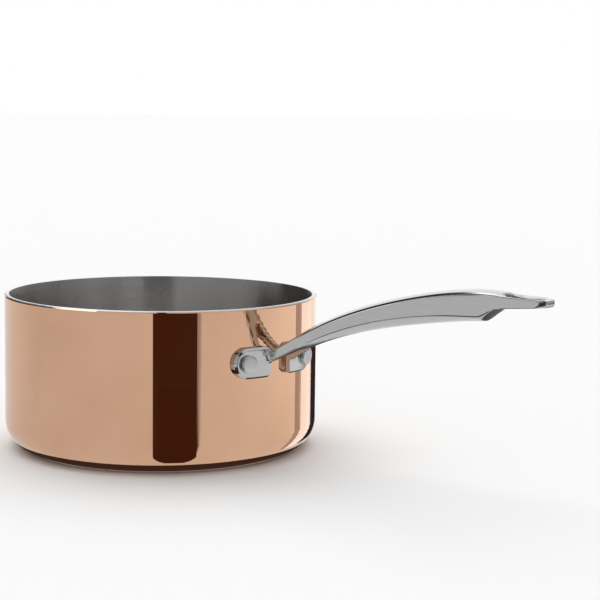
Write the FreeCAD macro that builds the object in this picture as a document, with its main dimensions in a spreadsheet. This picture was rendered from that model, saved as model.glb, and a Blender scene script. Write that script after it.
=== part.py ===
"""A saucepan with a copper-clad body and one cast stainless handle.

The pan stands on the plane z = 0 with its axis on Z. The handle points along +X. All sizes are
millimetres and degrees. Six separate pieces: three bonded sheets that make the body, the cast handle
and the two rivets that hold it.
"""

import FreeCAD, Part
import math
import os

import Sketcher
from FreeCAD import Placement, Rotation, Vector

doc = FreeCAD.newDocument("saucepan")

# ---------------------------------------------------------------- driving sizes
SIZES = {
    # the pan body, a straight-sided cylinder with a rounded foot
    "pan_diameter": 180.0,
    "pan_height": 89.0,
    "foot_radius": 16.4,
    "copper_thickness": 0.5,
    "core_thickness": 1.5,
    "lining_thickness": 0.5,
    "rim_bevel": 0.9,
    # the rivets, and how far below the rim they sit
    "rivet_drop": 29.4,
    "rivet_spacing": 43.6,
    "shank_diameter": 5.5,
    "shank_clearance": 0.05,
    "outer_head_diameter": 9.6,
    "outer_head_height": 2.4,
    "outer_head_round": 0.8,
    "inner_head_diameter": 11.0,
    "inner_head_height": 2.2,
    # the lugs, the two feet of the handle that lie on the wall
    "lug_thickness": 4.0,
    "lug_half_height": 8.4,
    "lug_bevel": 1.2,
    "lug_corner": 3.0,
    # the gap between the two arms of the handle
    "fork_length": 23.0,
    "fork_end_radius": 3.0,
    "fork_taper": 15.0,
    # the handle's reach from the wall to its tip, the ring at its end, and the scoop below the ring
    "handle_reach": 175.0,
    "hole_inset": 2.8,
    "hole_length": 21.0,
    "hole_width": 8.6,
    "hole_taper": 3.0,
    "hole_round": 0.6,
    "scoop_length": 36.2,
    "scoop_run": 9.0,
    "ring_thickness": 6.7,
    "ring_lift": 5.5,
    # the handle's bar: the lean of its sides, and its softened edges
    "side_lean": 5.0,
    "tip_radius": 5.2,
    "crease_round": 0.6,
}

# Stations along the bar. Each is (distance, half width, height of the upper crease above the rivets,
# height of the flat side, rise of the crown, depth of the belly). The first ones are placed from the
# pan's wall and the last ones back from the tip, so the ring keeps its shape on a longer handle.
ARM_STATIONS = {
    "heel": (-4.0, 12.4, 0.7, 4.8, 1.4, 0.5),
    "arms": (14.0, 9.4, 10.5, 5.6, 2.0, 0.9),
    "throat": (32.0, 7.3, 20.4, 6.0, 2.8, 2.2),
    "neck": (50.0, 6.9, 28.5, 6.8, 2.7, 3.2),
    "shaft": (74.0, 7.0, 36.8, 8.1, 2.2, 3.9),
    "swell": (102.0, 7.3, 44.0, 10.0, 1.8, 4.2),
}
RING_STATIONS = {
    "palm": (51.0, 7.6, 48.0, 12.0, 1.4, 2.8),
    "shoulder": (34.0, 7.5, 49.5, 12.8, 1.3, 1.3),
    "ring": (21.0, 7.1, 49.0, 12.4, 0.5, 1.2),
    "eye": (11.0, 6.7, 49.0, 12.4, 0.3, 1.2),
    "tip": (0.0, 5.8, 48.8, 12.4, 0.3, 1.2),
}
STATIONS = ARM_STATIONS | RING_STATIONS
STATION_FIELDS = ("distance", "half_width", "rise", "side", "crown", "belly")

sizes = doc.addObject("Spreadsheet::Sheet", "sizes")
for station, values in STATIONS.items():
    for field, value in zip(STATION_FIELDS, values):
        SIZES[f"{station}_{field}"] = value
for row, (alias, value) in enumerate(SIZES.items(), start=1):
    sizes.set(f"A{row}", alias.replace("_", " "))
    sizes.set(f"B{row}", str(value))
    sizes.setAlias(f"B{row}", alias)
doc.recompute()

# Sizes that several pieces share, each written in terms of the sheet.
PAN_RADIUS = "(sizes.pan_diameter / 2)"
WALL = "(sizes.copper_thickness + sizes.core_thickness + sizes.lining_thickness)"
BORE_RADIUS = f"({PAN_RADIUS} - {WALL})"
LUG_FACE = f"({PAN_RADIUS} + sizes.lug_thickness)"
RIVET_HEIGHT = "(sizes.pan_height - sizes.rivet_drop)"
RIVET_ANGLE = "asin(sizes.rivet_spacing / sizes.pan_diameter)"
BAR_END = f"({PAN_RADIUS} + sizes.handle_reach)"
ABOVE_ALL = "(2 * sizes.pan_height)"
SIDES = {"left": 1, "right": -1}


# ---------------------------------------------------------------- helpers
def number(expression):
    """The plain value of an expression over the sheet."""
    value = sizes.evalExpression(expression)
    return float(getattr(value, "Value", value))


def new_body(label):
    body = doc.addObject("PartDesign::Body", label)
    body.Label = label
    body.AllowCompound = True
    return body


def new_sketch(body, name, plane, offset=None, turn=None):
    """A sketch on one of the body's own planes, moved along its normal or turned about its Y."""
    sketch = body.newObject("Sketcher::SketchObject", name)
    origin_plane = [f for f in body.Origin.OriginFeatures if f.Role == plane][0]
    sketch.AttachmentSupport = [(origin_plane, "")]
    sketch.MapMode = "FlatFace"
    if turn is not None:
        sketch.AttachmentOffset = Placement(Vector(), Rotation(Vector(0, 1, 0), number(turn)))
        sketch.setExpression("AttachmentOffset.Rotation.Angle", turn)
    if offset is not None:
        sketch.setExpression("AttachmentOffset.Base.z", offset)
    return sketch


def bind(sketch, name, constraint, expression):
    sketch.renameConstraint(sketch.addConstraint(constraint), name)
    sketch.setExpression(f"Constraints.{name}", expression)


def arc_between(start, end, radius, turns_left):
    """The shorter arc from start to end, bulging right of the way when it turns left."""
    chord = end - start
    sag = math.sqrt(max(radius**2 - chord.Length**2 / 4, 0))
    left = Vector(-chord.y, chord.x, 0).normalize()
    centre = (start + end) / 2 + left * (sag if turns_left else -sag)
    first, last = (start, end) if turns_left else (end, start)
    angles = [math.atan2(p.y - centre.y, p.x - centre.x) for p in (first, last)]
    return Part.ArcOfCircle(Part.Circle(centre, Vector(0, 0, 1), radius), *angles)


def draw_outline(sketch, corners, arcs=None, prefix=""):
    """A closed outline through corners given as pairs of expressions.

    arcs maps a corner's index to (radius, turns left): the side from it to the next is that arc.
    """
    arcs = arcs or {}
    points = [Vector(number(x), number(y), 0) for x, y in corners]
    ends = []
    for i, start in enumerate(points):
        end = points[(i + 1) % len(points)]
        if i in arcs:
            radius, turns_left = arcs[i]
            shape = arc_between(start, end, number(radius), turns_left)
            edge = sketch.addGeometry(shape, False)
            bind(sketch, f"{prefix}r{i}", Sketcher.Constraint("Radius", edge, number(radius)), radius)
            ends.append((edge, (1, 2) if turns_left else (2, 1)))
        else:
            ends.append((sketch.addGeometry(Part.LineSegment(start, end), False), (1, 2)))
    for i, ((x, y), point) in enumerate(zip(corners, points)):
        edge, (start_end, _) = ends[i]
        before, (_, finish_end) = ends[i - 1]
        sketch.addConstraint(Sketcher.Constraint("Coincident", before, finish_end, edge, start_end))
        across = Sketcher.Constraint("DistanceX", -1, 1, edge, start_end, point.x)
        upward = Sketcher.Constraint("DistanceY", -1, 1, edge, start_end, point.y)
        bind(sketch, f"{prefix}x{i}", across, x)
        bind(sketch, f"{prefix}y{i}", upward, y)


def draw_circle(sketch, radius):
    edge = sketch.addGeometry(Part.Circle(Vector(), Vector(0, 0, 1), number(radius)), False)
    sketch.addConstraint(Sketcher.Constraint("Coincident", edge, 3, -1, 1))
    bind(sketch, "radius", Sketcher.Constraint("Radius", edge, number(radius)), radius)


def feature(body, kind, name, sketch, length=None, reverse=False, symmetric=False):
    """A pad or pocket of a sketch; the volume must change, or the piece is refused."""
    doc.recompute()
    before = body.Shape.Volume if body.Tip else 0
    made = body.newObject(f"PartDesign::{kind}", name)
    made.Profile = sketch
    if length is not None:
        made.setExpression("Length", length)
        made.Reversed = reverse
        if symmetric:
            made.SideType = "Symmetric"
    doc.recompute()
    change = made.Shape.Volume - before
    assert change * (-1 if kind in ("Pocket", "Groove") else 1) > 0, f"{name} changed nothing"
    return made


def revolve(body, name, sketch, axis):
    made = body.newObject("PartDesign::Revolution", name)
    made.Profile = sketch
    made.ReferenceAxis = (sketch, [axis])
    made.Angle = 360.0
    doc.recompute()
    return made


def dress(body, kind, name, size, wanted):
    """A fillet or chamfer on the body's edges for which wanted(edge) is true."""
    base = body.Tip
    names = [f"Edge{i}" for i, edge in enumerate(base.Shape.Edges, start=1) if wanted(edge)]
    assert names, f"{name} found no edges"
    made = body.newObject(f"PartDesign::{kind}", name)
    made.Base = (base, names)
    made.setExpression("Radius" if kind == "Fillet" else "Size", size)
    doc.recompute()
    return made


def drill_rivet_holes(body):
    """Two round holes through the wall, one on each rivet's axis."""
    for side, sign in SIDES.items():
        sketch = new_sketch(body, f"{side}_rivet_hole", "YZ_Plane", turn=f"{sign} * {RIVET_ANGLE}")
        sketch.setExpression("AttachmentOffset.Base.y", RIVET_HEIGHT)
        draw_circle(sketch, "sizes.shank_diameter / 2 + sizes.shank_clearance")
        feature(body, "Pocket", f"{side}_hole", sketch, f"{LUG_FACE} + 4", reverse=True)


# ---------------------------------------------------------------- the pan's three bonded sheets
def sheet_shell(label, outside, thickness, bevelled):
    """One sheet of the body: `outside` is how deep it lies under the pan's outer face."""
    radius = f"{PAN_RADIUS} - {outside}"
    inner = f"{radius} - {thickness}"
    flat = f"{PAN_RADIUS} - sizes.foot_radius"
    corners = [("0", outside), (flat, outside), (radius, "sizes.foot_radius")]
    if bevelled:
        edge = f"{PAN_RADIUS} - sizes.rim_bevel"
        meets_top = number(edge) > number(inner)
        corners.append((radius, f"sizes.pan_height - sizes.rim_bevel + {outside}"))
        if meets_top:
            corners += [(edge, "sizes.pan_height"), (inner, "sizes.pan_height")]
        else:
            corners.append((inner, f"sizes.pan_height - sizes.rim_bevel + {outside} + {thickness}"))
    else:
        corners += [(radius, "sizes.pan_height"), (inner, "sizes.pan_height")]
    last = len(corners)
    corners += [
        (inner, "sizes.foot_radius"),
        (flat, f"{outside} + {thickness}"),
        ("0", f"{outside} + {thickness}"),
    ]
    arcs = {
        1: (f"sizes.foot_radius - {outside}", True),
        last: (f"sizes.foot_radius - {outside} - {thickness}", False),
    }
    body = new_body(label)
    sketch = new_sketch(body, f"{label}_section", "XZ_Plane")
    draw_outline(sketch, corners, arcs)
    revolve(body, f"{label}_turned", sketch, "V_Axis")
    drill_rivet_holes(body)
    return body


copper_shell = sheet_shell("copper_shell", "0", "sizes.copper_thickness", bevelled=True)
aluminium_core = sheet_shell(
    "aluminium_core", "sizes.copper_thickness", "sizes.core_thickness", bevelled=True
)
steel_lining = sheet_shell(
    "steel_lining",
    "(sizes.copper_thickness + sizes.core_thickness)",
    "sizes.lining_thickness",
    bevelled=False,
)


# ---------------------------------------------------------------- the rivets
def rivet(label, sign):
    """A solid rivet lying along X: a domed head inside the pan and a flat head on the lug."""
    inner_radius = "sizes.inner_head_diameter / 2"
    outer_radius = "sizes.outer_head_diameter / 2"
    shank_radius = "sizes.shank_diameter / 2"
    seat_inside = f"sqrt({BORE_RADIUS}^2 - ({inner_radius})^2)"
    top = f"{LUG_FACE} + sizes.outer_head_height"
    corners = [
        (f"{seat_inside} - sizes.inner_head_height", "0"),
        (seat_inside, inner_radius),
        (seat_inside, shank_radius),
        (LUG_FACE, shank_radius),
        (LUG_FACE, outer_radius),
        (f"{top} - sizes.outer_head_round", outer_radius),
        (top, f"{outer_radius} - sizes.outer_head_round"),
        (top, "0"),
    ]
    dome = f"(sizes.inner_head_height^2 + ({inner_radius})^2) / (2 * sizes.inner_head_height)"
    arcs = {0: (dome, False), 5: ("sizes.outer_head_round", False)}
    body = new_body(label)
    sketch = new_sketch(body, f"{label}_section", "XZ_Plane")
    draw_outline(sketch, corners, arcs)
    revolve(body, f"{label}_turned", sketch, "H_Axis")
    body.Placement = Placement(Vector(), Rotation(Vector(0, 0, 1), sign))
    body.setExpression("Placement.Rotation.Angle", f"{sign} * {RIVET_ANGLE}")
    body.setExpression("Placement.Base.z", RIVET_HEIGHT)
    return body


left_rivet = rivet("left_rivet", SIDES["left"])
right_rivet = rivet("right_rivet", SIDES["right"])

# ---------------------------------------------------------------- the handle
handle = new_body("handle")


def round_lug_face(edge):
    """The curved edges of the lugs' outer face, a cylinder about the pan's axis."""
    face = number(LUG_FACE)
    on_face = all(abs(math.hypot(v.X, v.Y) - face) < 0.01 for v in edge.Vertexes)
    return on_face and edge.Curve.TypeId != "Part::GeomLine"


# The lugs: two round-ended plates bent to the wall.
lug_sketch = new_sketch(handle, "lug_outline", "YZ_Plane", offset=f"{PAN_RADIUS} / 2")
for side, sign in SIDES.items():
    centre = f"{sign} * ({PAN_RADIUS} + sizes.lug_thickness / 2) * sin({RIVET_ANGLE})"
    inward = f"{sign} * sizes.fork_end_radius"
    low = f"{RIVET_HEIGHT} - sizes.lug_half_height"
    high = f"{RIVET_HEIGHT} + sizes.lug_half_height"
    outline = [(inward, low), (centre, low), (centre, high), (inward, high)]
    draw_outline(lug_sketch, outline, {1: ("sizes.lug_half_height", sign > 0)}, prefix=side)
feature(handle, "Pad", "lug_plates", lug_sketch, PAN_RADIUS)

trim_sketch = new_sketch(handle, "lug_face_outline", "XY_Plane")
for name, radius in (("inner", LUG_FACE), ("outer", f"2 * {PAN_RADIUS}")):
    ring_edge = trim_sketch.addGeometry(Part.Circle(Vector(), Vector(0, 0, 1), number(radius)), False)
    trim_sketch.addConstraint(Sketcher.Constraint("Coincident", ring_edge, 3, -1, 1))
    bind(trim_sketch, name, Sketcher.Constraint("Radius", ring_edge, number(radius)), radius)
feature(handle, "Pocket", "lug_faces", trim_sketch, ABOVE_ALL, reverse=True)
dress(handle, "Chamfer", "lug_bevels", "sizes.lug_bevel", round_lug_face)


# The bar: one smooth loft through the stations, with a crowned top, flat sides and a full belly.
def bar_section(station):
    half = f"sizes.{station}_half_width"
    crease = f"({RIVET_HEIGHT} + sizes.{station}_rise)"
    low = f"({crease} - sizes.{station}_side)"
    if station in ARM_STATIONS:
        place = f"{PAN_RADIUS} + sizes.{station}_distance"
    else:
        place = f"{BAR_END} - sizes.{station}_distance"
    sketch = new_sketch(handle, f"{station}_section", "YZ_Plane", offset=place)
    foot = f"({half} - sizes.{station}_side * tan(sizes.side_lean * 1deg))"
    corners = [(f"-{foot}", low), (foot, low), (half, crease), (f"-{half}", crease)]
    belly = f"({foot}^2 + sizes.{station}_belly^2) / (2 * sizes.{station}_belly)"
    crown = f"({half}^2 + sizes.{station}_crown^2) / (2 * sizes.{station}_crown)"
    draw_outline(sketch, corners, {0: (belly, True), 2: (crown, True)})
    return sketch


sections = [bar_section(station) for station in STATIONS]
doc.recompute()
bar = handle.newObject("PartDesign::AdditiveLoft", "bar")
bar.Profile = sections[0]
bar.Sections = sections[1:]
doc.recompute()

# The scoop under the ring: the bar is cut away to leave a thin ring that lifts towards the tip.
ring_under = f"({RIVET_HEIGHT} + sizes.ring_rise - sizes.ring_thickness)"
scoop_start = f"({BAR_END} - sizes.scoop_length)"
below_bar = f"({RIVET_HEIGHT} + sizes.neck_rise)"
beyond_tip = f"({BAR_END} + sizes.scoop_length)"
lift = "tan(sizes.ring_lift * 1deg)"
scoop_sketch = new_sketch(handle, "scoop_outline", "XZ_Plane")
scoop_corners = [
    (f"{scoop_start} - sizes.scoop_run", below_bar),
    (beyond_tip, below_bar),
    (beyond_tip, f"{ring_under} + (2 * sizes.scoop_length - sizes.scoop_run) * {lift}"),
    (f"{scoop_start} + sizes.scoop_run", ring_under),
]
draw_outline(scoop_sketch, scoop_corners)
feature(handle, "Pocket", "scoop", scoop_sketch, "4 * sizes.palm_half_width", symmetric=True)


def at_tip_corner(edge):
    """The two upright corners at the far end of the bar."""
    end = number(BAR_END)
    upright = abs(edge.tangentAt(edge.FirstParameter).z) > 0.9
    return upright and all(abs(v.X - end) < 0.01 for v in edge.Vertexes)


dress(handle, "Fillet", "tip_round", "sizes.tip_radius", at_tip_corner)

# The bar's root is cut to the wall, so the lugs and the arms' ends seat on the copper.
seat_sketch = new_sketch(handle, "wall_outline", "XY_Plane")
draw_circle(seat_sketch, PAN_RADIUS)
feature(handle, "Pocket", "wall_seat", seat_sketch, ABOVE_ALL, reverse=True)

# The gap between the arms, narrowing from the lugs to a round end.
fork_centre = f"({PAN_RADIUS} + sizes.fork_length - sizes.fork_end_radius)"
fork_side = "sizes.fork_end_radius * cos(sizes.fork_taper * 1deg)"
fork_tangent = f"({fork_centre} + sizes.fork_end_radius * sin(sizes.fork_taper * 1deg))"
fork_back = f"({PAN_RADIUS} - sizes.lug_thickness)"
fork_mouth = f"({fork_side} + ({fork_tangent} - {fork_back}) * tan(sizes.fork_taper * 1deg))"
fork_sketch = new_sketch(handle, "fork_outline", "XY_Plane")
fork_corners = [
    (fork_back, f"-{fork_mouth}"),
    (fork_tangent, f"-{fork_side}"),
    (f"{fork_centre} + sizes.fork_end_radius", "0"),
    (fork_tangent, fork_side),
    (fork_back, fork_mouth),
]
fork_arc = ("sizes.fork_end_radius", True)
draw_outline(fork_sketch, fork_corners, {1: fork_arc, 2: fork_arc})
feature(handle, "Pocket", "fork_gap", fork_sketch, ABOVE_ALL, reverse=True)

# The long hole to hang the pan by, round at both ends and narrower towards the tip.
hole_small = "(sizes.hole_width / 2 - sizes.hole_length * tan(sizes.hole_taper * 1deg) / 2)"
hole_large = "(sizes.hole_width / 2)"
hole_end = f"({BAR_END} - sizes.hole_inset - {hole_small})"
hole_start = f"({BAR_END} - sizes.hole_inset - sizes.hole_length + {hole_large})"
hole_sketch = new_sketch(handle, "hole_outline", "XY_Plane")
hole_corners = [
    (hole_start, f"-{hole_large}"),
    (hole_end, f"-{hole_small}"),
    (f"{hole_end} + {hole_small}", "0"),
    (hole_end, hole_small),
    (hole_start, hole_large),
    (f"{hole_start} - {hole_large}", "0"),
]
hole_arcs = {side: (hole_small, True) for side in (1, 2)}
hole_arcs |= {side: (hole_large, True) for side in (4, 5)}
draw_outline(hole_sketch, hole_corners, hole_arcs)
feature(handle, "Pocket", "hanging_hole", hole_sketch, ABOVE_ALL, reverse=True)

drill_rivet_holes(handle)


# Softened edges, as a casting is ground and polished.
def middle(edge):
    return edge.valueAt((edge.FirstParameter + edge.LastParameter) / 2)


def side_crease(edge):
    """The long edges above and below the bar's flat sides."""
    return edge.Length > number("0.6 * sizes.handle_reach")


def ring_edge(edge):
    """The edges round the underside of the ring, outside the hole."""
    point = middle(edge)
    outside = abs(point.y) > number(hole_large) or point.x > number(f"{BAR_END} - 0.1")
    below = point.z < number(f"{RIVET_HEIGHT} + sizes.tip_rise - sizes.hole_round")
    return point.x > number(f"{scoop_start} + sizes.scoop_run") and outside and below and edge.Length > 5


def hole_rim(edge):
    """The upper edges of the hanging hole."""
    point = middle(edge)
    start = number(f"{hole_start} - {hole_large}")
    end = number(f"{hole_end} + {hole_small}")
    above = point.z > number(f"{RIVET_HEIGHT} + sizes.ring_rise - sizes.hole_round")
    return start - 1 < point.x < end + 1 and abs(point.y) < number(hole_large) + 0.1 and above


def lug_low_corner(edge):
    """The lower corners of the lugs, next to the gap between the arms."""
    point = middle(edge)
    low = number(f"{RIVET_HEIGHT} - sizes.lug_half_height")
    beside_gap = abs(point.y) < number(fork_mouth)
    through_plate = edge.Length > number("sizes.lug_thickness - sizes.lug_bevel") - 0.5
    return abs(point.z - low) < 0.01 and beside_gap and through_plate and edge.Length < 6


dress(handle, "Fillet", "side_creases", "sizes.crease_round", side_crease)
dress(handle, "Fillet", "ring_edges", "sizes.crease_round", ring_edge)
dress(handle, "Fillet", "hole_rim", "sizes.hole_round", hole_rim)
dress(handle, "Fillet", "lug_corners", "sizes.lug_corner", lug_low_corner)

# ---------------------------------------------------------------- check and write
doc.recompute()
pieces = (copper_shell, aluminium_core, steel_lining, handle, left_rivet, right_rivet)
for thing in doc.Objects:
    if {"Invalid", "Error"} & set(thing.State):
        raise SystemExit(f"{thing.Name} failed: {thing.getStatusString()}")
for piece in pieces:
    if piece.Shape.isNull() or not piece.Shape.isValid() or len(piece.Shape.Solids) != 1:
        raise SystemExit(f"{piece.Label} is not one valid solid")

os.makedirs("parts", exist_ok=True)
for piece in pieces:
    piece.Shape.exportStep(f"parts/{piece.Label}.step")
    print(piece.Label, round(piece.Shape.Volume), "cubic mm")
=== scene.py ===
"""The finished looks of a copper saucepan with a cast steel handle. All lengths are in metres.

The pan stands on z = 0 with its axis on Z, and its handle points along +X.
"""
import math

import bmesh
import bpy
from mathutils import Matrix, Vector


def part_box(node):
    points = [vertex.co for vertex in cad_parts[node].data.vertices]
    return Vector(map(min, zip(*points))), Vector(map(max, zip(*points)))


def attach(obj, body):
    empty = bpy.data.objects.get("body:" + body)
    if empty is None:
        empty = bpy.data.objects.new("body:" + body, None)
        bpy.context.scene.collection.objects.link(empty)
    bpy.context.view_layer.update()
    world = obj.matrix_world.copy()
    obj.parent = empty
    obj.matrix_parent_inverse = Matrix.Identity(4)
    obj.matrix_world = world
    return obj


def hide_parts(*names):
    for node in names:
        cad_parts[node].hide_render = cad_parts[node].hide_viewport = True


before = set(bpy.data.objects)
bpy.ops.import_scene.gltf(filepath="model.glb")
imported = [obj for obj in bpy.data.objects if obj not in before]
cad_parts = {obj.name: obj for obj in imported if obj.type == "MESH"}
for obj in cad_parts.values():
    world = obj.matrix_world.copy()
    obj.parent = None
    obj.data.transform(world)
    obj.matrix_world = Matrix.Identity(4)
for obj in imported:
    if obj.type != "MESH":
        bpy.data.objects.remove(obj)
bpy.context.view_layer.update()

# ---------------------------------------------------------------- the wall's three sheets
# The pan is drawn from one disc of bonded sheet: polished copper outside, an aluminium core and a
# thin steel lining. The wall is straight, the foot is rounded, and the rim is cut flat with its
# outer edge bevelled, so all three metals show there. Two holes take the handle's rivets.
pan_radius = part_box("copper_shell")[1].x
pan_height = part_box("steel_lining")[1].z
FOOT_RADIUS = 0.0164
RIM_BEVEL = 0.0009
COPPER_DEPTH = 0.0005
CORE_DEPTH = 0.002
LINING_DEPTH = 0.0025
FIRST_RING = 0.002
EDGE_BREAK = 0.00006
EDGE_ANGLE = math.radians(28)
RIVET_SPACING = 0.0436
RIVET_HOLE = 0.0028
rivet_height = sum(corner.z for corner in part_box("left_rivet")) / 2
rivet_angle = math.asin(RIVET_SPACING / 2 / pan_radius)


def arc(centre, size, start, end, steps):
    """Points of an arc in a turned section, as (radius, height); the angles are in degrees."""
    angles = [math.radians(start + (end - start) * i / steps) for i in range(steps + 1)]
    return [(centre[0] + size * math.cos(a), centre[1] + size * math.sin(a)) for a in angles]


def turned(name, section, steps):
    """A closed round piece, drawn out of a small disc ring by ring along its section."""
    bpy.ops.object.select_all(action="DESELECT")
    radius, height = section[0]
    bpy.ops.mesh.primitive_circle_add(
        vertices=steps, radius=radius, fill_type="TRIFAN", location=(0, 0, height)
    )
    piece = bpy.context.object
    piece.name = piece.data.name = name
    bpy.ops.object.transform_apply(location=True)
    bpy.ops.object.mode_set(mode="EDIT")
    bpy.ops.mesh.select_mode(type="EDGE")
    bpy.ops.mesh.select_all(action="DESELECT")
    bpy.ops.mesh.select_non_manifold()
    for next_radius, next_height in section[1:]:
        bpy.ops.mesh.extrude_region_move(
            TRANSFORM_OT_translate={"value": (0, 0, next_height - height)}
        )
        scale = next_radius / radius
        bpy.ops.transform.resize(value=(scale, scale, 1), center_override=(0, 0, 0))
        radius, height = next_radius, next_height
    bpy.ops.mesh.extrude_region_move()
    bpy.ops.mesh.merge(type="CENTER")
    bpy.ops.mesh.select_all(action="SELECT")
    bpy.ops.mesh.normals_make_consistent(inside=False)
    bpy.ops.object.mode_set(mode="OBJECT")
    return piece


def break_edges(piece, width):
    """Takes the sharpness off the edges with a narrow bevel."""
    bevel = piece.modifiers.new("edge_break", "BEVEL")
    bevel.width = width
    bevel.segments = 2
    bevel.angle_limit = EDGE_ANGLE
    bpy.context.view_layer.objects.active = piece
    bpy.ops.object.modifier_apply(modifier=bevel.name)


def drill_for_rivets(piece):
    """Cuts the two rivet holes through a piece of the wall."""
    for side in (1, -1):
        bpy.ops.object.select_all(action="DESELECT")
        outward = Vector((math.cos(rivet_angle), side * math.sin(rivet_angle), 0))
        bpy.ops.mesh.primitive_cylinder_add(
            vertices=48,
            radius=RIVET_HOLE,
            depth=pan_radius / 4,
            location=outward * pan_radius + Vector((0, 0, rivet_height)),
            rotation=(0, math.pi / 2, side * rivet_angle),
        )
        drill = bpy.context.object
        cut = piece.modifiers.new("rivet_hole", "BOOLEAN")
        cut.operation = "DIFFERENCE"
        cut.object = drill
        bpy.context.view_layer.objects.active = piece
        bpy.ops.object.modifier_apply(modifier=cut.name)
        bpy.data.objects.remove(drill)


def wall_sheet(node, outside, inside):
    """One sheet of the pan, between two depths under its outer face."""
    flat = pan_radius - FOOT_RADIUS
    centre = (flat, FOOT_RADIUS)
    floor_rings = [
        FIRST_RING + (flat - FIRST_RING) * share for share in (0, 0.15, 0.35, 0.6, 0.8)
    ]
    wall_shares = [i / 9 for i in range(1, 9)]
    tops = [pan_height - max(RIM_BEVEL - depth, 0) for depth in (outside, inside)]
    rises = [top - FOOT_RADIUS for top in tops]
    section = [(radius, outside) for radius in floor_rings]
    section += arc(centre, FOOT_RADIUS - outside, -90, 0, 36)
    section += [(pan_radius - outside, FOOT_RADIUS + rises[0] * share) for share in wall_shares]
    section.append((pan_radius - outside, tops[0]))
    if outside < RIM_BEVEL < inside:
        section.append((pan_radius - RIM_BEVEL, pan_height))
    section.append((pan_radius - inside, tops[1]))
    section += [(pan_radius - inside, tops[1] - rises[1] * share) for share in wall_shares]
    section += arc(centre, FOOT_RADIUS - inside, 0, -90, 14)
    section += [(radius, inside) for radius in reversed(floor_rings)]
    piece = turned(f"{node}_spun", section, steps=240)
    drill_for_rivets(piece)
    break_edges(piece, EDGE_BREAK)
    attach(piece, "root")
    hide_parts(node)
    return piece


copper_shell = wall_sheet("copper_shell", 0, COPPER_DEPTH)
aluminium_core = wall_sheet("aluminium_core", COPPER_DEPTH, CORE_DEPTH)
steel_lining = wall_sheet("steel_lining", CORE_DEPTH, LINING_DEPTH)


def add(tree, kind, values=None, **settings):
    """One shader node; each value is set on an input, or linked to it when it is another's output."""
    node = tree.nodes.new(kind)
    for name, value in settings.items():
        setattr(node, name, value)
    for name, value in (values or {}).items():
        if isinstance(value, bpy.types.NodeSocket):
            tree.links.new(value, node.inputs[name])
        else:
            node.inputs[name].default_value = value
    return node


def calculate(tree, operation, first, second):
    """The result of one sum on two numbers that vary over a surface."""
    return add(tree, "ShaderNodeMath", {0: first, 1: second}, operation=operation).outputs[0]


def new_group(name, numbers, output):
    """An empty node group that takes a Place and some numbers; returns it with its two ends."""
    group = bpy.data.node_groups.new(name, "ShaderNodeTree")
    group.interface.new_socket("Place", in_out="INPUT", socket_type="NodeSocketVector")
    for number, value in numbers.items():
        socket = group.interface.new_socket(number, in_out="INPUT", socket_type="NodeSocketFloat")
        socket.default_value = value
    group.interface.new_socket(output, in_out="OUTPUT", socket_type="NodeSocketFloat")
    return group, group.nodes.new("NodeGroupInput").outputs, group.nodes.new("NodeGroupOutput").inputs


# Fine lines that run round the Z axis, as a lathe leaves them on a wall and on a flat bottom.
turned_lines, given, result = new_group("turned_lines", {"Fineness": 2500, "Reach": 12}, "Lines")
flat_place = add(
    turned_lines, "ShaderNodeVectorMath", {0: given["Place"], 1: (1, 1, 0)}, operation="MULTIPLY"
)
off_axis = add(turned_lines, "ShaderNodeVectorMath", {0: flat_place.outputs[0]}, operation="LENGTH")
parts = add(turned_lines, "ShaderNodeSeparateXYZ", {0: given["Place"]}).outputs
rise = calculate(turned_lines, "ADD", off_axis.outputs["Value"], parts["Z"])
across = calculate(turned_lines, "MULTIPLY", rise, given["Fineness"])
along = [calculate(turned_lines, "MULTIPLY", parts[axis], given["Reach"]) for axis in "XY"]
stretched = add(turned_lines, "ShaderNodeCombineXYZ", {"X": along[0], "Y": along[1], "Z": across})
streaks = add(
    turned_lines, "ShaderNodeTexNoise", {"Vector": stretched.outputs[0], "Scale": 1, "Detail": 3}
)
turned_lines.links.new(streaks.outputs["Fac"], result["Lines"])

# Soft cloudy patches, where cloths and fingers have dulled a polish.
smudges, given, result = new_group("smudges", {"Scale": 30}, "Mask")
clouds = add(
    smudges, "ShaderNodeTexNoise", {"Vector": given["Place"], "Scale": given["Scale"], "Detail": 4}
)
patches = add(
    smudges,
    "ShaderNodeMapRange",
    {"Value": clouds.outputs["Fac"], "From Min": 0.42, "From Max": 0.7},
)
smudges.links.new(patches.outputs[0], result["Mask"])


def fine_lines(tree, place, fineness):
    """The turned lines, placed in a metal's own tree."""
    values = {"Place": place, "Fineness": fineness}
    return add(tree, "ShaderNodeGroup", values, node_tree=turned_lines).outputs[0]


def cloudiness(tree, place, scale):
    """The smudges, placed in a metal's own tree."""
    values = {"Place": place, "Scale": scale}
    return add(tree, "ShaderNodeGroup", values, node_tree=smudges).outputs[0]


def new_finish(name, slot, *pieces):
    """A metal put on the pieces; returns its node tree, its shader and the Object coordinates."""
    material = bpy.data.materials.new(name)
    material.use_nodes = True
    tree = material.node_tree
    for piece in pieces:
        piece.data.materials.clear()
        piece.data.materials.append(material)
    shader = tree.nodes["Principled BSDF"]
    shader.inputs["Metallic"].default_value = 1
    return tree, shader, tree.nodes.new("ShaderNodeTexCoord").outputs["Object"]


def mix_colours(tree, factor, first, second):
    """The first colour where the factor is 0 and the second where it is 1."""
    return add(tree, "ShaderNodeMix", {0: factor, 6: first, 7: second}, data_type="RGBA").outputs[2]


def mix_values(tree, factor, low, high):
    """The low value where the factor is 0 and the high one where it is 1."""
    return add(
        tree, "ShaderNodeMapRange", {"Value": factor, "To Min": low, "To Max": high}
    ).outputs[0]


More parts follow.
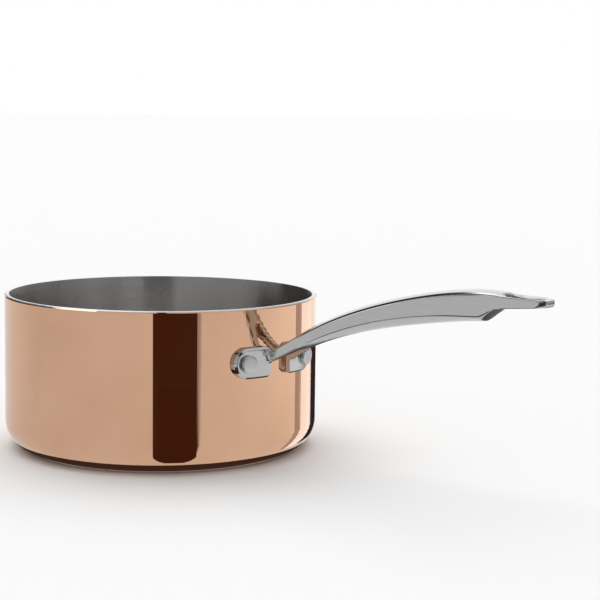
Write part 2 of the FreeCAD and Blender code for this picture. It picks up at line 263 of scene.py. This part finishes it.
def bump(tree, height, distance, below=None):
    """The normal from a height that runs from 0 to 1, over a normal given from below."""
    node = add(tree, "ShaderNodeBump", {"Height": height, "Distance": distance})
    if below is not None:
        tree.links.new(below, node.inputs["Normal"])
    return node.outputs["Normal"]


def finish_with(shader, colour, roughness, normal):
    """Gives the shader what varies over the metal's surface."""
    links = shader.id_data.links
    links.new(colour, shader.inputs["Base Color"])
    links.new(roughness, shader.inputs["Roughness"])
    links.new(normal, shader.inputs["Normal"])


# Copper: a mirror, with a faint cloudiness in its tone and slow waves left by the drawing.
tree, shader, place = new_finish("mirror_copper", "copper", copper_shell)
haze = cloudiness(tree, place, 22)
lines = fine_lines(tree, place, 1600)
waves = add(tree, "ShaderNodeTexNoise", {"Vector": place, "Scale": 14, "Detail": 1}).outputs["Fac"]
finish_with(
    shader,
    colour=mix_colours(tree, haze, (0.80, 0.49, 0.325, 1), (0.75, 0.45, 0.29, 1)),
    roughness=mix_values(tree, haze, 0.04, 0.08),
    normal=bump(tree, lines, 0.00000015, below=bump(tree, waves, 0.00003)),
)

# Aluminium: only its cut edge shows, ground with the rim.
tree, shader, place = new_finish("ground_aluminium", "aluminium", aluminium_core)
lines = fine_lines(tree, place, 5000)
finish_with(
    shader,
    colour=mix_colours(tree, lines, (0.70, 0.70, 0.71, 1), (0.86, 0.86, 0.87, 1)),
    roughness=mix_values(tree, lines, 0.28, 0.45),
    normal=bump(tree, lines, 0.00001),
)

# Lining: stainless steel brushed round and round, so it draws each light out into an upright band.
tree, shader, place = new_finish("brushed_lining", "lining_steel", steel_lining)
haze = cloudiness(tree, place, 30)
lines = fine_lines(tree, place, 3000)
finish_with(
    shader,
    colour=mix_colours(tree, lines, (0.50, 0.49, 0.48, 1), (0.66, 0.65, 0.64, 1)),
    roughness=mix_values(tree, haze, 0.27, 0.29),
    normal=bump(tree, lines, 0.000004),
)
shader.inputs["Anisotropic"].default_value = 1.0
shader.inputs["Anisotropic Rotation"].default_value = 0.25
spin_direction = add(tree, "ShaderNodeTangent", direction_type="RADIAL", axis="Z")
tree.links.new(spin_direction.outputs[0], shader.inputs["Tangent"])

# ---------------------------------------------------------------- the handle
# One stainless casting: two lugs bent to the wall, two arms that rise from them and meet, a long
# crowned bar with flat sides, and a ring to hang it by, thinned by a scoop below. Half of it is
# drawn out of one lug as a cage, mirrored, and smoothed as the real one is ground and polished.
LUG_THICKNESS = 0.004
LUG_HALF_HEIGHT = 0.0084
LUG_BEVEL = 0.0012
FORK_END = 0.0205
FORK_END_HALF_GAP = 0.0030
FORK_SLOPE = math.tan(math.radians(15))
FORK_EASE = 0.0005
CROWN_FULLNESS = 1.08
SIDE_LEAN = math.tan(math.radians(5))
RING_LIFT = math.tan(math.radians(5.5))
SCOOP_TOP = 0.1478
SCOOP_HEIGHT = 0.0421
SCOOP_SLANT = math.radians(34)

lug_face = pan_radius + LUG_THICKNESS
lug_centre = (pan_radius + LUG_THICKNESS / 2) * math.sin(rivet_angle)


def fork_side(reach):
    """Half the gap between the arms, at a distance from the wall."""
    return FORK_END_HALF_GAP + (FORK_END - reach) * FORK_SLOPE


# Each station: distance from the wall, half gap, half width, height of the upper crease above the
# rivets, height of the flat side, rise of the crown, depth of the belly.
BAR_STATIONS = [
    (0.0060, fork_side(0.0060), 0.0105, 0.0062, 0.0052, 0.0018, 0.0007),
    (0.0140, fork_side(0.0140), 0.0094, 0.0105, 0.0056, 0.0020, 0.0009),
    (0.0200, 0.0031, 0.0086, 0.0140, 0.0057, 0.0023, 0.0013),
    (0.0224, 0.0021, 0.0083, 0.0153, 0.0058, 0.0024, 0.0014),
    (0.0232, 0, 0.0082, 0.0158, 0.0058, 0.0025, 0.0015),
    (0.0320, 0, 0.0073, 0.0204, 0.0060, 0.0028, 0.0022),
    (0.0500, 0, 0.0069, 0.0286, 0.0068, 0.0027, 0.0032),
    (0.0740, 0, 0.0070, 0.0370, 0.0081, 0.0022, 0.0039),
    (0.1020, 0, 0.0073, 0.0442, 0.0100, 0.0018, 0.0042),
    (0.1240, 0, 0.0076, 0.0482, 0.0120, 0.0014, 0.0028),
    (0.1390, 0, 0.0076, 0.0494, 0.0127, 0.0013, 0.0019),
]
# Past the scoop the underside is one slanting plane, so these stations leave the side's height out.
RING_STATIONS = [
    (0.1472, 0, 0.0074, 0.0492, 0.0012),
    (0.1500, 0, 0.0073, 0.0490, 0.0008),
    (0.1512, 0.0033, 0.0072, 0.0489, -0.0006),
    (0.1555, 0.0046, 0.0071, 0.0488, -0.0020),
    (0.1620, 0.0044, 0.0068, 0.0487, -0.0020),
    (0.1685, 0.0041, 0.0064, 0.0487, -0.0014),
    (0.1715, 0.0028, 0.0060, 0.0487, -0.0006),
    (0.1724, 0, 0.0057, 0.0487, -0.0004),
    (0.1756, 0, 0.0036, 0.0484, -0.0002),
]
stations = list(BAR_STATIONS)
for reach, gap, half, edge_height, crown in RING_STATIONS:
    under = SCOOP_HEIGHT + (reach - SCOOP_TOP) * RING_LIFT
    stations.append((reach, gap, half, edge_height, edge_height - under, crown, 0))


def bar_section(reach, gap, half, crease, side, crown, belly):
    """The nine points of the half bar's section, by row from the bottom and by column outwards."""
    points = {}
    for row in range(3):
        edge = half - side * SIDE_LEAN * (2 - row) / 2
        for column in range(3):
            y = gap + (edge - gap) * column / 2
            arch = CROWN_FULLNESS * (1 - (y / edge) ** 2)
            lift = {0: -side - belly * arch, 1: -side / 2, 2: crown * arch}[row]
            points[row, column] = Vector((pan_radius + reach, y, rivet_height + crease + lift))
    return points


# The lug's points by row and column; the arm springs from its rows 2 to 4 and columns 0 to 2. The
# last column lies round the lug's end, by angle in degrees.
LUG_ROWS = (-0.0072, -0.0038, -0.0004, 0.0022, 0.0047, 0.0072)
LUG_COLUMNS = (0, 0.0018, 0.0036, 0.0085)
LUG_END_START = -75
LUG_END_STEP = 30


def lug_layer(radius, grown):
    """The lug's points on a cylinder round the pan's axis, its outline grown all round."""
    outline = LUG_HALF_HEIGHT - LUG_BEVEL + grown
    growth = outline / (LUG_HALF_HEIGHT - LUG_BEVEL)
    points = {}
    for row, height in enumerate(LUG_ROWS):
        inner = fork_side(radius - pan_radius - FORK_EASE)
        edge = row in (0, len(LUG_ROWS) - 1)
        height = height * growth if edge else height
        places = [(inner + step, height) for step in LUG_COLUMNS] + [(lug_centre, height)]
        angle = math.radians(LUG_END_START + LUG_END_STEP * row)
        places.append((lug_centre + outline * math.cos(angle), outline * math.sin(angle)))
        for column, (y, z) in enumerate(places):
            x = math.sqrt(radius**2 - y**2)
            points[row, column] = Vector((x, y, rivet_height + z))
    return points


def lay_points(old, new):
    """Moves the selected points of the cage from their old places to the new ones."""
    cage = bmesh.from_edit_mesh(bpy.context.object.data)
    for vertex in [v for v in cage.verts if v.select]:
        key = min(old, key=lambda k: (old[k] - vertex.co).length)
        vertex.co = new[key]
    bmesh.update_edit_mesh(bpy.context.object.data)


def draw_out(old, new):
    """Extrudes the selected faces and lays the new points in their places."""
    bpy.ops.mesh.extrude_region_move()
    lay_points(old, new)
    return new


def select_between(points, kind):
    """Selects the cage's edges or faces that have all their corners among the points."""
    bpy.ops.mesh.select_mode(type="EDGE" if kind == "edges" else "FACE")
    bpy.ops.mesh.select_all(action="DESELECT")
    cage = bmesh.from_edit_mesh(bpy.context.object.data)
    close = {v for v in cage.verts if any((v.co - point).length < 1e-6 for point in points)}
    for part in getattr(cage, kind):
        if close.issuperset(part.verts):
            part.select_set(True)
    bmesh.update_edit_mesh(bpy.context.object.data)


def keep_crease(points, sharpness):
    """Holds the edges between the points against the smoothing."""
    select_between(points, "edges")
    bpy.ops.transform.edge_crease(value=sharpness)


back = lug_layer(pan_radius, LUG_BEVEL)
bpy.ops.object.select_all(action="DESELECT")
bpy.ops.mesh.primitive_grid_add(
    x_subdivisions=5, y_subdivisions=5, size=5, rotation=(math.pi / 2, 0, math.pi / 2)
)
handle = bpy.context.object
handle.name = handle.data.name = "handle_cast"
bpy.ops.object.transform_apply(rotation=True)
bpy.ops.object.mode_set(mode="EDIT")
bpy.ops.mesh.select_all(action="SELECT")
grid = {(row, column): Vector((0, column - 2.5, row - 2.5)) for row in range(6) for column in range(6)}
lay_points(grid, back)
middle = draw_out(back, lug_layer(lug_face - LUG_BEVEL, LUG_BEVEL))
front = draw_out(middle, lug_layer(lug_face, 0))

section = {(row, column): front[row + 2, column] for row in range(3) for column in range(3)}
select_between(section.values(), "faces")
sections = [section]
for station in stations:
    sections.append(draw_out(sections[-1], bar_section(*station)))

bpy.ops.mesh.select_mode(type="FACE")
bpy.ops.mesh.select_all(action="DESELECT")
cage = bmesh.from_edit_mesh(handle.data)
for face in cage.faces:
    face.select_set(all(abs(v.co.y) < 1e-6 for v in face.verts))
bmesh.update_edit_mesh(handle.data)
bpy.ops.mesh.delete(type="FACE")
bpy.ops.mesh.select_all(action="SELECT")
bpy.ops.mesh.normals_make_consistent(inside=False)

to_scoop = len(BAR_STATIONS) + 1
keep_crease([s[2, 2] for s in sections[1:-2]], 0.33)
keep_crease([s[0, 2] for s in sections[1:to_scoop]], 0.40)
keep_crease([s[0, 2] for s in sections[to_scoop - 1 : -2]], 0.40)
for number, sharpness in ((to_scoop - 1, 0.95), (to_scoop, 0.9)):
    keep_crease([sections[number][0, column] for column in range(3)], sharpness)
keep_crease([s[2, 0] for s in sections[to_scoop + 1 : -1]], 0.6)
for layer, sharpness in ((back, 0.9), (middle, 0.7), (front, 0.7)):
    outline = [place for (row, column), place in layer.items() if row in (0, 5) or column in (0, 5)]
    keep_crease(outline, sharpness)
bpy.ops.object.mode_set(mode="OBJECT")

mirror = handle.modifiers.new("other_half", "MIRROR")
mirror.use_axis = (False, True, False)
mirror.merge_threshold = 0.00001
smooth = handle.modifiers.new("smooth", "SUBSURF")
smooth.levels = smooth.render_levels = 3
for modifier in (mirror, smooth):
    bpy.ops.object.modifier_apply(modifier=modifier.name)
drill_for_rivets(handle)
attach(handle, "root")
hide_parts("handle")

# Bright satin polish drawn out along the bar; the scoop's slanted face is left rough as cast and
# painted near-black: painted shade.
tree, shader, place = new_finish("satin_steel", "handle_steel", handle)
haze = cloudiness(tree, place, 45)
drawn_out = add(tree, "ShaderNodeMapping", {"Vector": place, "Scale": (60, 1500, 1500)}).outputs[0]
grain = add(tree, "ShaderNodeTexNoise", {"Vector": drawn_out, "Scale": 1, "Detail": 3}).outputs["Fac"]
polish = mix_colours(tree, grain, (0.53, 0.53, 0.53, 1), (0.60, 0.60, 0.60, 1))
facing = tree.nodes.new("ShaderNodeTexCoord").outputs["Normal"]
into_scoop = add(
    tree,
    "ShaderNodeVectorMath",
    {0: facing, 1: (math.sin(SCOOP_SLANT), 0, -math.cos(SCOOP_SLANT))},
    operation="DOT_PRODUCT",
).outputs["Value"]
# Painted shade: this mask paints the scoop's downward face near-black for the dark it reflects, and
# also gives it the rougher cast finish.
cast_roughness_and_painted_shade = add(
    tree, "ShaderNodeMapRange", {"Value": into_scoop, "From Min": 0.90, "From Max": 0.96}
).outputs[0]
polished = mix_values(tree, haze, 0.12, 0.18)
finish_with(
    shader,
    colour=mix_colours(tree, cast_roughness_and_painted_shade, polish, (0.035, 0.035, 0.035, 1)),
    roughness=add(tree, "ShaderNodeMix", {0: cast_roughness_and_painted_shade, 2: polished, 3: 0.45}).outputs[0],
    normal=bump(tree, grain, 0.000006),
)

# ---------------------------------------------------------------- the two rivets
# Solid stainless rivets through the wall: each has a broad low dome inside the pan and a flat head
# with a turned edge outside, closed down on the lug.
SHANK_RADIUS = 0.00275
OUTER_HEAD = 0.0048
OUTER_HEAD_HEIGHT = 0.0024
OUTER_HEAD_ROUND = 0.0008
INNER_HEAD = 0.0055
INNER_HEAD_HEIGHT = 0.0022
HEAD_RINGS = (0.0008, 0.0025)
HEAD_EDGE_BREAK = 0.0001

seat_inside = math.sqrt((pan_radius - LINING_DEPTH) ** 2 - INNER_HEAD**2)
dome_radius = (INNER_HEAD_HEIGHT**2 + INNER_HEAD**2) / (2 * INNER_HEAD_HEIGHT)
dome_centre = seat_inside - INNER_HEAD_HEIGHT + dome_radius
dome_edge = math.degrees(math.asin(INNER_HEAD / dome_radius))
head_top = lug_face + OUTER_HEAD_HEIGHT
rivet_section = [(ring, head_top) for ring in HEAD_RINGS]
rivet_section += arc(
    (OUTER_HEAD - OUTER_HEAD_ROUND, head_top - OUTER_HEAD_ROUND), OUTER_HEAD_ROUND, 90, 0, 5
)
rivet_section += [
    (OUTER_HEAD, lug_face),
    (SHANK_RADIUS, lug_face),
    (SHANK_RADIUS, seat_inside),
    (INNER_HEAD, seat_inside),
]
rivet_section += arc((0, dome_centre), dome_radius, dome_edge - 90, -86, 8)[1:]

rivets = []
for side, node in ((1, "left_rivet"), (-1, "right_rivet")):
    rivet = turned(f"{node}_turned", rivet_section, steps=64)
    rivet.rotation_euler = (0, math.pi / 2, side * rivet_angle)
    rivet.location.z = rivet_height
    bpy.ops.object.transform_apply(location=True, rotation=True)
    break_edges(rivet, HEAD_EDGE_BREAK)
    bpy.ops.object.shade_smooth_by_angle(angle=EDGE_ANGLE)
    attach(rivet, "root")
    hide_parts(node)
    rivets.append(rivet)

# A duller satin than the handle's, with the fine pits of an upset head.
tree, shader, place = new_finish("rivet_steel", "rivet_steel", *rivets)
haze = cloudiness(tree, place, 120)
pits = add(tree, "ShaderNodeTexNoise", {"Vector": place, "Scale": 1400, "Detail": 2}).outputs["Fac"]
finish_with(
    shader,
    colour=mix_colours(tree, haze, (0.62, 0.62, 0.62, 1), (0.52, 0.52, 0.52, 1)),
    roughness=mix_values(tree, haze, 0.26, 0.34),
    normal=bump(tree, pits, 0.000006),
)

# ---------------------------------------------------------------- floor, light and camera
# A plain pale floor under one broad soft lamp, and a camera a little above the handle. Polished
# metal needs a studio to mirror, so reflections have their own: a light table with cards on it, and
# a sky whose light changes by compass and height, with a dark gap where the camera stands.
CAMERA_PLACE = (0.6722, -0.6395, 0.1969)
CAMERA_YAW = 41.45
CAMERA_PITCH = 6.88
CAMERA_ROLL = 0.72
to_camera = math.degrees(math.atan2(CAMERA_PLACE[1], CAMERA_PLACE[0]))


def stage_finish(name, colour, strength=0.0):
    """Matt paper, or a card that shines with its colour and reflects nothing."""
    material = bpy.data.materials.new(name)
    material.use_nodes = True
    shader = material.node_tree.nodes["Principled BSDF"]
    shader.inputs["Base Color"].default_value = (0, 0, 0, 1) if strength else colour
    shader.inputs["Roughness"].default_value = 0.8
    shader.inputs["Specular IOR Level"].default_value = 0.0
    shader.inputs["Emission Color"].default_value = colour
    shader.inputs["Emission Strength"].default_value = strength
    return material


def only_reflected(card):
    """Hides a part of the studio from all but mirrors."""
    card.visible_camera = card.visible_diffuse = card.visible_shadow = False


def compass_ramp(tree, direction, stops):
    """Brightness by the direction's angle from the camera's, positive to the right."""
    turned_round = add(
        tree,
        "ShaderNodeVectorRotate",
        {"Vector": direction, "Angle": math.radians(-to_camera)},
        rotation_type="Z_AXIS",
    )
    parts = add(tree, "ShaderNodeSeparateXYZ", {0: turned_round.outputs[0]}).outputs
    angle = calculate(tree, "ARCTAN2", parts["Y"], parts["X"])
    share = add(
        tree, "ShaderNodeMapRange", {"Value": angle, "From Min": -math.pi, "From Max": math.pi}
    )
    ramp = add(tree, "ShaderNodeValToRGB", {0: share.outputs[0]})
    elements = ramp.color_ramp.elements
    while len(elements) < len(stops):
        elements.new(0.5)
    for element, (degrees, brightness) in zip(elements, stops):
        element.position = (degrees + 180) / 360
        element.color = (brightness, brightness, brightness, 1)
    return ramp.outputs[0]


def flat_card(name, outline, lift, corner=0.0):
    """A card lying just over the floor, with its corners rounded."""
    bpy.ops.object.select_all(action="DESELECT")
    mesh = bpy.data.meshes.new(name)
    mesh.from_pydata([(x, y, lift) for x, y in outline], [], [tuple(range(len(outline)))])
    card = bpy.data.objects.new(name, mesh)
    bpy.context.scene.collection.objects.link(card)
    if corner:
        rounding = card.modifiers.new("corners", "BEVEL")
        rounding.affect = "VERTICES"
        rounding.width = corner
        rounding.segments = 6
    only_reflected(card)
    return card


bpy.ops.object.select_all(action="DESELECT")
bpy.ops.mesh.primitive_circle_add(vertices=96, radius=30, fill_type="TRIFAN")
floor = bpy.context.object
floor.name = "floor"
floor.data.materials.append(stage_finish("floor_paper", (0.86, 0.86, 0.86, 1)))
floor.visible_glossy = False

# The stops of each ramp are an angle in degrees and a brightness.
TABLE_RADIUS = 0.9
TABLE_LIGHT = [
    (-180, 1.05), (-150, 0.80), (-90, 0.68), (-20, 0.70), (30, 0.76), (60, 0.79), (80, 0.88),
    (135, 1.10), (180, 1.05)
]
bpy.ops.object.select_all(action="DESELECT")
bpy.ops.mesh.primitive_circle_add(
    vertices=96, radius=TABLE_RADIUS, fill_type="TRIFAN", location=(0, 0, 0.0002)
)
table = bpy.context.object
table.name = "light_table"
glow = stage_finish("table_glow", (1, 1, 1, 1), 1.0)
table.data.materials.append(glow)
over_table = glow.node_tree.nodes.new("ShaderNodeTexCoord").outputs["Object"]
table_light = compass_ramp(glow.node_tree, over_table, TABLE_LIGHT)
glow.node_tree.links.new(
    table_light, glow.node_tree.nodes["Principled BSDF"].inputs["Emission Color"]
)
only_reflected(table)

# Each card lies between the two lines that the round wall mirrors into the camera at two angles from
# the camera's direction, so it stands in the wall as an upright stripe. After the angles come the
# distances from the wall, the colour and the round of the corners.
STRIPE_CARDS = {
    "card_front": ((-3.0, 12.8), (-0.0015, 1.1), (0.056, 0.019, 0.009, 1), 0.008),
    "card_side": ((55.3, 59.5), (-0.003, 0.8), (0.47, 0.43, 0.43, 1), 0.0),
    "card_bright": ((59.5, 69.9), (-0.003, 0.8), (1.22, 1.34, 1.45, 1), 0.0),
    "card_back": ((69.9, 84.3), (-0.003, 0.42), (0.030, 0.020, 0.026, 1), 0.0),
}
eye = Vector((CAMERA_PLACE[0], CAMERA_PLACE[1], 0))
for name, (angles, (near, far), colour, corner) in STRIPE_CARDS.items():
    starts = []
    ends = []
    for angle in angles:
        outward = Matrix.Rotation(math.radians(to_camera + angle), 3, "Z") @ Vector((1, 0, 0))
        seen = outward * pan_radius
        way = (seen - eye).reflect(outward).normalized()
        starts.append(seen + way * near)
        ends.append(seen + way * far)
    outline = [point.xy for point in (starts[0], starts[1], ends[1], ends[0])]
    card = flat_card(name, outline, 0.0005, corner)
    card.data.materials.append(stage_finish(name, colour, 1.0))

# The dark gap under the pan's rounded foot.
FOOT_SHADE_INSET = 0.0045
bpy.ops.object.select_all(action="DESELECT")
bpy.ops.mesh.primitive_circle_add(
    vertices=96, radius=pan_radius - FOOT_SHADE_INSET, fill_type="TRIFAN", location=(0, 0, 0.0004)
)
foot_shade = bpy.context.object
foot_shade.name = "foot_shade"
foot_shade.data.materials.append(stage_finish("foot_shade", (0.05, 0.03, 0.025, 1), 1.0))
only_reflected(foot_shade)

# The studio's sky, by compass at three heights.
LOW_LIGHT = [
    (-180, 1.15), (-160, 1.15), (-153, 0.04), (-112, 0.04), (-105, 1.1), (-82, 1.1), (-76, 0.6),
    (-11, 0.6), (-9, 0.03), (13, 0.03), (15, 0.6), (120, 0.7), (150, 1.15), (180, 1.15)
]
HIGH_LIGHT = [
    (-180, 1.10), (-167, 1.10), (-160, 0.04), (-88, 0.04), (-80, 0.5), (-11, 0.5), (-9, 0.02),
    (13, 0.02), (15, 0.45), (140, 0.45), (155, 1.10), (180, 1.10)
]
TOP_LIGHT = [
    (-180, 1.2), (-140, 2.4), (-97, 2.8), (-95, 0.6), (-11, 0.68), (-9, 0.02), (13, 0.02), (15, 0.68),
    (180, 0.75)
]
world = bpy.data.worlds.new("studio")
bpy.context.scene.world = world
world.use_nodes = True
sky = world.node_tree
direction = sky.nodes.new("ShaderNodeTexCoord").outputs["Generated"]
height = add(sky, "ShaderNodeSeparateXYZ", {0: direction}).outputs["Z"]


def above(low, high):
    """0 below one height of the sky and 1 above another, given as sines."""
    values = {"Value": height, "From Min": low, "From Max": high}
    return add(sky, "ShaderNodeMapRange", values).outputs[0]


low, high, top = [
    compass_ramp(sky, direction, stops) for stops in (LOW_LIGHT, HIGH_LIGHT, TOP_LIGHT)
]
mirrored = mix_colours(sky, above(0.09, 0.15), low, high)
mirrored = mix_colours(sky, above(0.70, 0.76), mirrored, top)
mirrored = mix_colours(sky, above(-0.03, 0.0), (0.12, 0.12, 0.12, 1), mirrored)
ray = add(sky, "ShaderNodeLightPath").outputs
lighting = mix_colours(sky, ray["Is Diffuse Ray"], mirrored, (0.60, 0.60, 0.60, 1))
backdrop = mix_colours(sky, ray["Is Camera Ray"], lighting, (1.0, 1.0, 1.0, 1))
sky.links.new(backdrop, sky.nodes["Background"].inputs["Color"])

lamp = bpy.data.objects.new("soft_lamp", bpy.data.lights.new("soft_lamp", "SUN"))
bpy.context.scene.collection.objects.link(lamp)
lamp.data.energy = 1.8
lamp.data.angle = math.radians(70)
lamp.rotation_euler = (math.radians(-12), math.radians(-22), 0)
lamp.visible_glossy = False

camera = bpy.data.objects.new("camera", bpy.data.cameras.new("camera"))
bpy.context.scene.collection.objects.link(camera)
camera.data.sensor_width = 36
camera.data.lens = 96
yaw = Matrix.Rotation(math.radians(CAMERA_YAW), 4, "Z")
tilt = Matrix.Rotation(math.radians(90 - CAMERA_PITCH), 4, "X")
roll = Matrix.Rotation(math.radians(CAMERA_ROLL), 4, "Z")
camera.matrix_world = Matrix.Translation(CAMERA_PLACE) @ yaw @ tilt @ roll
bpy.context.scene.camera = camera
bpy.context.scene.view_settings.view_transform = "Standard"
